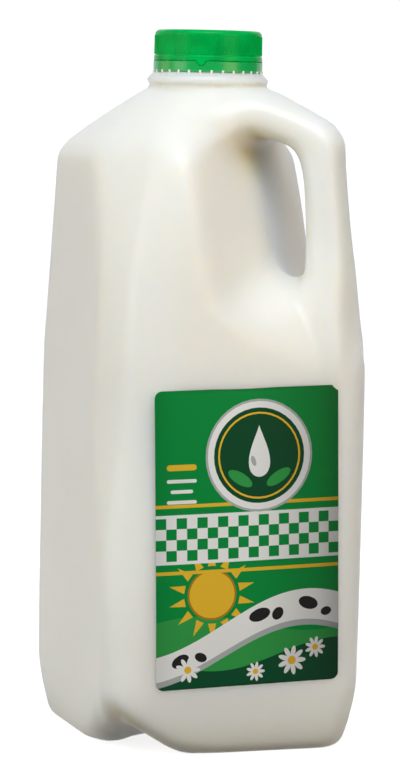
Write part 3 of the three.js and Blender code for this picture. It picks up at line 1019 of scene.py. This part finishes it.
def label_design(form):
    """The print, from the bottom layer up: pairs of a colour and an outline round the label's middle."""
    width = form.width * 1.04
    w, h = form.width, form.height
    layers = []

    def put(colour, outline):
        layers.append((colour, outline))

    def hill(level, rise, phase):
        return lambda s: h * (level + rise * math.sin(math.pi * (1.6 * s + phase)))

    def stream(s):
        return h * (-0.335 + 0.10 * math.sin(math.pi * (1.15 * s - 0.42)))

    # Meadow: two rolling bands at the bottom
    put(LEAF_GREEN, swept(width, hill(-0.42, 0.035, 0.15), lambda s: 0.13 * h))
    put(DEEP_GREEN, swept(width, hill(-0.50, 0.045, 0.95), lambda s: 0.10 * h))
    # Rising sun with its rays
    sun = (-0.20 * w, -0.185 * h)
    for i in range(14):
        put(GOLD, ray(*sun, 0.15 * w, 0.235 * w, 0.022 * w, 2 * math.pi * (i + 0.5) / 14))
    put(BRONZE, disc(*sun, 0.132 * w))
    put(GOLD, disc(*sun, 0.122 * w))
    # Poured stream that sweeps over the meadow
    put(SILVER, swept(width, lambda s: stream(s) - 0.012 * h, lambda s: (0.050 + 0.012 * s) * h))
    put(WHITE, swept(width, stream, lambda s: (0.042 + 0.012 * s) * h))
    # Black patches on the stream
    for share, lift, size, flat, turn in (
        (0.13, 0.006, 0.050, 0.62, 0.5), (0.24, -0.016, 0.034, 0.7, -0.4), (0.56, 0.008, 0.060, 0.55, 0.3),
        (0.66, -0.014, 0.036, 0.8, 0.9), (0.83, 0.004, 0.055, 0.6, -0.3), (0.93, -0.018, 0.03, 0.75, 0.2),
    ):
        put(BLACK, disc((share - 0.5) * w, stream(share) + lift * h, size * w, flat, turn, 24))
    # Daisies in the meadow
    for across, up, share in (
        (0.24, -0.425, 0.075), (0.37, -0.385, 0.055), (-0.33, -0.435, 0.065), (0.04, -0.455, 0.05),
    ):
        x, y, size = across * w, up * h, share * w
        for i in range(9):
            a = 2 * math.pi * i / 9
            petal = (x + 0.62 * size * math.cos(a), y + 0.62 * size * math.sin(a))
            put(WHITE, disc(*petal, 0.42 * size, 0.42, a, 12))
        put(GOLD, disc(x, y, 0.3 * size, 1, 0, 16))
    # Checked ribbon across the middle
    cell = w / 18
    base = 0.005 * h
    put(WHITE, swept(width, lambda s: base, lambda s: 2.3 * cell))
    for row in range(4):
        for column in range(18):
            if (row + column) % 2:
                x, y = (column - 9) * cell, base + (row - 2) * cell
                put(form.colour[:], [(x, y), (x + cell, y), (x + cell, y + cell), (x, y + cell)])
    put(GOLD, swept(width, lambda s: base - 3.1 * cell, lambda s: 0.16 * cell))
    put(GOLD, swept(width, lambda s: base + 3.1 * cell, lambda s: 0.16 * cell))
    # Round badge with a drop and two leaves
    badge = (0.06 * w, 0.275 * h)
    put(SILVER, disc(*badge, 0.292 * w))
    put(WHITE, disc(*badge, 0.280 * w))
    put(DEEP_GREEN, disc(*badge, 0.247 * w))
    put(GOLD, disc(*badge, 0.225 * w))
    put(DEEP_GREEN, disc(*badge, 0.215 * w))
    put(WHITE, drop_shape(badge[0], badge[1] + 0.015 * h, 0.27 * w))
    put(SILVER, disc(badge[0] - 0.032 * w, badge[1] - 0.018 * h, 0.028 * w, 0.45, 1.9, 18))
    for side in (-1, 1):
        leaf = (badge[0] + side * 0.105 * w, badge[1] - 0.075 * h)
        put(LEAF_GREEN, disc(*leaf, 0.075 * w, 0.4, side * 0.55, 24))
    # Plain bars beside the badge
    for i, length in enumerate((0.16, 0.12, 0.16)):
        put(WHITE, bar(-0.36 * w, (0.20 - 0.035 * i) * h, length * w, 0.012 * h))
    put(GOLD, bar(-0.36 * w, 0.245 * h, 0.16 * w, 0.02 * h))
    return layers


class MILKJUG_OT_label(bpy.types.Operator):
    """Makes the film label on the face, with its printed fields and small wrinkles"""

    bl_idname = "milkjug.label"
    bl_label = "Label"

    def execute(self, context):
        form = context.scene.jug_label
        half_w, half_h, corner = form.width / 2, form.height / 2, form.corner
        outline = []
        for sx, sy, start in ((1, 1, 0), (-1, 1, 90), (-1, -1, 180), (1, -1, 270)):
            outline += arc(sx * (half_w - corner), sy * (half_h - corner), corner, start, start + 90)
        layers = [(form.colour[:], outline)] + label_design(form)
        verts, faces = [], []
        for _, shape in layers:
            faces.append(list(range(len(verts), len(verts) + len(shape))))
            verts += [Vector(p) for p in shape]
        columns, rows = int(form.width / LABEL_STEP), int(form.height / LABEL_STEP)
        for i in range(1, columns):
            for j in range(1, rows):
                verts.append(Vector((-half_w + i * form.width / columns, -half_h + j * form.height / rows)))
        places, _, cells, _, _, parents = delaunay_2d_cdt(verts, [], faces, 0, 1e-7)
        kept = [(cell, max(parent)) for cell, parent in zip(cells, parents) if 0 in parent]
        made = mesh_object("label_sheet", self.on_face(places, context), [cell for cell, _ in kept])
        ink = made.data.color_attributes.new("print", "FLOAT_COLOR", "CORNER")
        colours = [opaque(layers[layer][0]) for _, layer in kept for _ in range(3)]
        ink.data.foreach_set("color", np.array(colours, dtype=np.float32).ravel())
        # Painted shade towards the label's right edge and corners
        shade = made.data.attributes.new("painted_right_shade", "FLOAT", "POINT")
        shade.data.foreach_set("value", [self.painted_right_shade(p, form) for p in places])
        clean_sheet(made)
        finish_piece(made, label_film())
        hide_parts("front_label")
        return {"FINISHED"}

    def painted_right_shade(self, place, form):
        """Painted shade: the print darkens softly towards the right edge and the corners."""
        right = ramp(place[0] / form.width, -0.05, 0.52)
        edge = ramp(max(abs(place[0]) / form.width, 0.75 * abs(place[1]) / form.height), 0.36, 0.52)
        return float(min(0.62 * right + 0.25 * edge, 1))

    def on_face(self, places, context):
        """Puts the flat design on the bowed face, tilted a little, with wrinkles that only stand out."""
        form, body = context.scene.jug_label, context.scene.jug_body
        points = []
        for place in places:
            a = place[0] * math.cos(LABEL_TILT) - place[1] * math.sin(LABEL_TILT)
            b = place[1] * math.cos(LABEL_TILT) + place[0] * math.sin(LABEL_TILT)
            across, z = form.centre_across + a, form.centre_z + b
            out = body.half_side + float(panel_bulge(across, z, body)) + LABEL_GAP + LABEL_FILM
            out += wrinkle(place[0] / form.width, place[1] / form.height)
            points.append((
                out * math.sin(FACE_TURN) + across * math.cos(FACE_TURN),
                -out * math.cos(FACE_TURN) + across * math.sin(FACE_TURN),
                z,
            ))
        return points


def wrinkle(x, y):
    """Height of the film's creases at a place given as shares of its width and height from the middle."""
    height = 0.0
    for along, level, lean, width, size in (
        (0.5, 0.19, 0.10, 0.012, 0.35), (0.5, 0.155, 0.16, 0.010, 0.28), (0.5, -0.02, -0.05, 0.010, 0.22),
        (-0.5, -0.13, -0.08, 0.012, 0.2), (0.5, -0.31, 0.07, 0.011, 0.2),
    ):
        near = max(1 - abs(x - along) / CREASE_REACH, 0)
        line = (y - level - lean * (x - along)) / width
        height += size * MM * near * near * math.exp(-line * line)
    return height


def clean_sheet(made):
    """Drops loose points and gives the sheet its thickness, inwards."""
    sheet = bmesh.new()
    sheet.from_mesh(made.data)
    bmesh.ops.delete(sheet, geom=[v for v in sheet.verts if not v.link_faces], context="VERTS")
    sheet.to_mesh(made.data)
    sheet.free()
    thick = made.modifiers.new("film", "SOLIDIFY")
    thick.thickness = LABEL_FILM
    thick.offset = -1
    mesh = baked(made)
    made.modifiers.clear()
    made.data = mesh
    shade_by_angle(made, 50)


def area_light(name, place, energy, colour):
    """A soft square light that looks at the jug."""
    light = bpy.data.lights.new(name, "AREA")
    light.size = LIGHT_SIDE
    light.energy = energy
    light.color = colour
    made = placed(name, light)
    made.location = place
    aim = Vector((0, 0, LIGHT_AIM_Z))
    made.rotation_euler = (aim - Vector(place)).to_track_quat("-Z", "Y").to_euler()


def around(azimuth, distance, z):
    """A point seen from the jug at an azimuth: 0 is in front at -Y, and it turns towards +X."""
    a = math.radians(azimuth)
    return (distance * math.sin(a), -distance * math.cos(a), z)


def add_floor(glow):
    """A paper sweep: flat, then curving up behind the jug."""
    back = Vector((-math.sin(CAMERA_AZIMUTH), math.cos(CAMERA_AZIMUTH)))
    right = Vector((math.cos(CAMERA_AZIMUTH), math.sin(CAMERA_AZIMUTH)))
    profile = [(FLOOR_FRONT, 0.0), (0.0, 0.0), (FLOOR_DEPTH, 0.0)]
    profile += arc(FLOOR_DEPTH, FLOOR_BEND, FLOOR_BEND, -90, 0, 16)
    profile += [(FLOOR_DEPTH + FLOOR_BEND, BACKDROP_HEIGHT)]
    points = []
    for y, z in profile:
        for side in (-FLOOR_HALF_WIDTH, FLOOR_HALF_WIDTH):
            spot = back * y + right * side
            points.append((spot.x, spot.y, z))
    faces = [(2 * i, 2 * i + 1, 2 * i + 3, 2 * i + 2) for i in range(len(profile) - 1)]
    floor = mesh_object("floor", points, faces)
    floor.data.materials.append(floor_paper(glow))
    floor.visible_diffuse = False


def add_camera(context):
    """The camera at the photograph's angle, with its small roll."""
    eye = Vector(around(CAMERA_TURN, CAMERA_DISTANCE, CAMERA_Z))
    right = Vector((math.cos(CAMERA_AZIMUTH), math.sin(CAMERA_AZIMUTH), 0))
    aim = right * AIM_ACROSS + Vector((0, 0, AIM_Z))
    forward = (aim - eye).normalized()
    right = forward.cross(Vector((0, 0, 1))).normalized()
    up = right.cross(forward)
    turn_cos, turn_sin = math.cos(CAMERA_ROLL), math.sin(CAMERA_ROLL)
    across, upright = right * turn_cos + up * turn_sin, up * turn_cos - right * turn_sin
    data = bpy.data.cameras.new("camera")
    data.sensor_width = SENSOR
    data.lens = FOCAL_PIXELS * SENSOR / PHOTO_HEIGHT
    camera = placed("camera", data)
    camera.matrix_world = Matrix((across, upright, -forward)).transposed().to_4x4()
    camera.matrix_world.translation = eye
    context.scene.camera = camera


def add_sky(context, strength):
    """Room light that comes from above and fades out just below the horizon."""
    world = bpy.data.worlds.new("room")
    world.use_nodes = True
    nodes = NodeSet(world.node_tree)
    place = nodes.add("ShaderNodeTexCoord").outputs["Generated"]
    height = nodes.add("ShaderNodeSeparateXYZ", {0: place}).outputs["Z"]
    colour = nodes.blend(nodes.ramp(height, *SKY_SPAN), (0, 0, 0, 1), opaque(SKY_COLOUR))
    background = world.node_tree.nodes["Background"]
    world.node_tree.links.new(colour, background.inputs["Color"])
    background.inputs["Strength"].default_value = strength
    context.scene.world = world


class MILKJUG_OT_stage(bpy.types.Operator):
    """Makes the pale floor, the soft lights and the camera"""

    bl_idname = "milkjug.stage"
    bl_label = "Stage"

    def execute(self, context):
        form = context.scene.jug_stage
        add_floor(form.floor_glow)
        add_camera(context)
        add_sky(context, form.sky)
        for name, azimuth, height, power, colour in (
            ("key", 35, HIGH, form.key_power, COOL),
            ("front", 0, HIGH, form.front_power, COOL),
            ("left", -35, LOW, form.left_power, CREAM),
            ("edge", -75, LOW, form.edge_power, WARM),
            ("right", 75, LOW, form.right_power, WARM),
        ):
            away = math.sqrt(LIGHT_DISTANCE**2 - (height - LIGHT_AIM_Z) ** 2)
            area_light(name, around(azimuth, away, height), power, colour)
        context.scene.view_settings.view_transform = "Standard"
        return {"FINISHED"}


class MILKJUG_PT_panel(bpy.types.Panel):
    bl_label = "Milk jug"
    bl_idname = "MILKJUG_PT_panel"
    bl_space_type = "VIEW_3D"
    bl_region_type = "UI"
    bl_category = "Milk jug"

    def draw(self, context):
        for operator in OPERATORS:
            self.layout.operator(operator.bl_idname)
        for name in GROUPS:
            group = getattr(context.scene, name)
            box = self.layout.box()
            for key in group.__annotations__:
                box.prop(group, key)


OPERATORS = (MILKJUG_OT_bottle, MILKJUG_OT_cap, MILKJUG_OT_band, MILKJUG_OT_label, MILKJUG_OT_stage)
GROUPS = {"jug_body": JugBody, "jug_cap": JugCap, "jug_label": JugLabel, "jug_stage": JugStage}


def register():
    for item in (*GROUPS.values(), *OPERATORS, MILKJUG_PT_panel):
        bpy.utils.register_class(item)
    for name, group in GROUPS.items():
        setattr(bpy.types.Scene, name, PointerProperty(type=group))


def unregister():
    for name in GROUPS:
        delattr(bpy.types.Scene, name)
    for item in (MILKJUG_PT_panel, *OPERATORS, *GROUPS.values()):
        bpy.utils.unregister_class(item)


def main():
    register()
    bpy.ops.milkjug.stage()
    bpy.ops.milkjug.bottle()
    bpy.ops.milkjug.cap()
    bpy.ops.milkjug.band()
    bpy.ops.milkjug.label()


if __name__ == "__main__":
    main()
